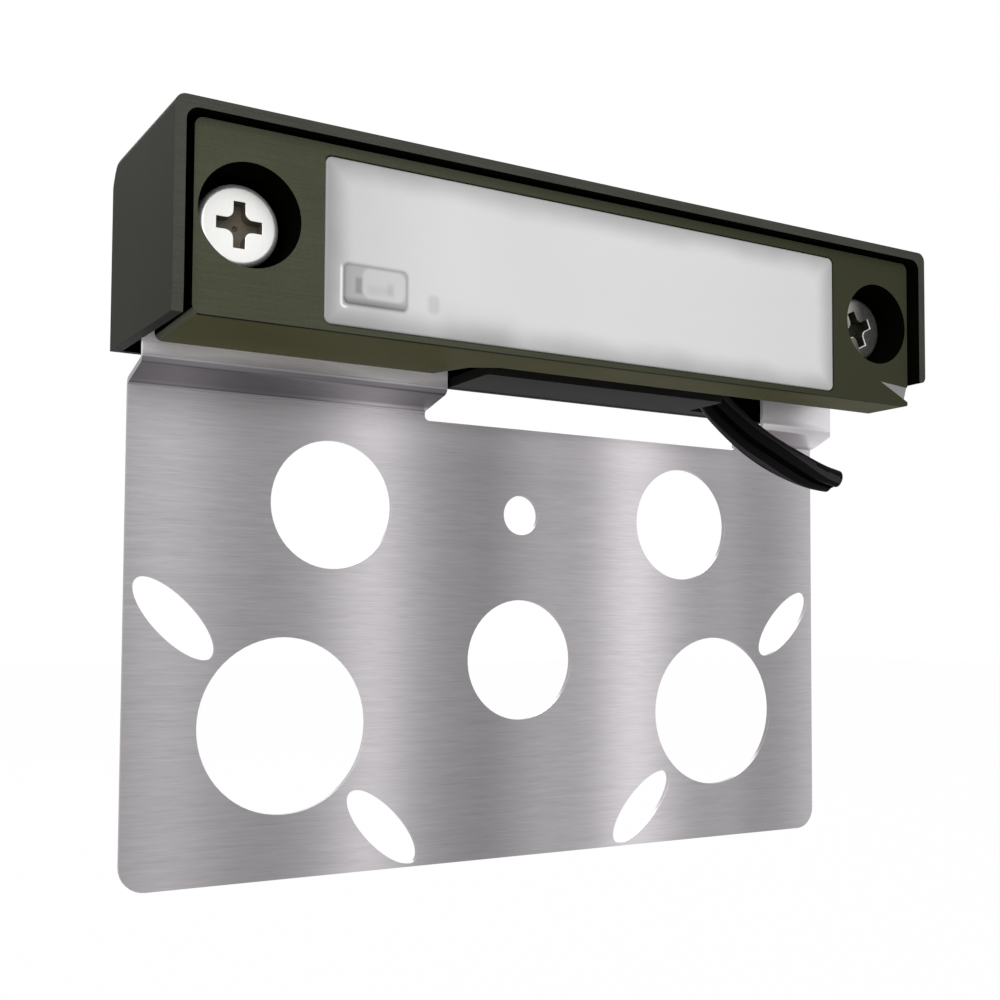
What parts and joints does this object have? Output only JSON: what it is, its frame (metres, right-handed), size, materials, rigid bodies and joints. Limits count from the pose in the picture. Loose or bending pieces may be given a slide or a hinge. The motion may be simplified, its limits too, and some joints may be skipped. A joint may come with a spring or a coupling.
{
  "type": "hardscape light",
  "caption": "Low-voltage light for stone walls: a hooded light module with a frosted lens, screwed to a folded, pierced mounting plate, with a short twin lead.",
  "frame": {"origin": "centre of the nail hole, on the back face of the mounting plate", "axes": "+X along the light, towards the end where the cord leaves; +Y from the lens to the back, square to the mounting plate; +Z along the plate, towards the hood"},
  "size_m": [0.1, 0.0258, 0.0796],
  "materials": {
    "hood_coat": "fine textured dark bronze coat",
    "plate_steel": "brushed along its length",
    "module_coat": "fine textured dark bronze coat",
    "lens_frosted": "frosted",
    "gasket_clear": "matte silicone",
    "board_white": "white solder mask",
    "led_phosphor": "phosphor under clear resin",
    "rectifier_black": "moulded epoxy",
    "chip_black": "moulded epoxy",
    "resistor_black": "glazed film with plain ends",
    "capacitor_tan": "fired ceramic",
    "inductor_grey": "ferrite",
    "pad_blue": "soft matte",
    "lead_red": "satin insulation",
    "lead_black": "satin insulation",
    "solder": "bright solder",
    "potting_black": "glossy cast resin",
    "gasket_grey": "matte silicone",
    "cover_coat": "fine textured dark bronze coat",
    "small_screw_steel": "plain",
    "boot_rubber": "matte",
    "cord_jacket": "satin",
    "screw_steel": "bright",
    "washer_steel": "plain"
  },
  "bodies": {
    "root": {"housing": "hood_coat", "mounting_plate": "plate_steel", "module_body": "module_coat", "lens": "lens_frosted", "lens_gasket": "gasket_clear", "led_board": "board_white", "leds": "led_phosphor", "bridge_rectifier": "rectifier_black", "driver_chip": "chip_black", "sense_resistors": "resistor_black", "capacitors": "capacitor_tan", "inductor": "inductor_grey", "thermal_pad": "pad_blue", "lead_positive": "lead_red", "lead_negative": "lead_black", "solder_joints": "solder", "potting": "potting_black", "cover_gasket": "gasket_grey", "back_cover": "cover_coat", "back_cover_screws": "small_screw_steel", "cable_boot": "boot_rubber", "cord": "cord_jacket", "clamp_screw_left": "screw_steel", "clamp_screw_right": "screw_steel", "screw_washers": "washer_steel"}
  },
  "joints": []
}
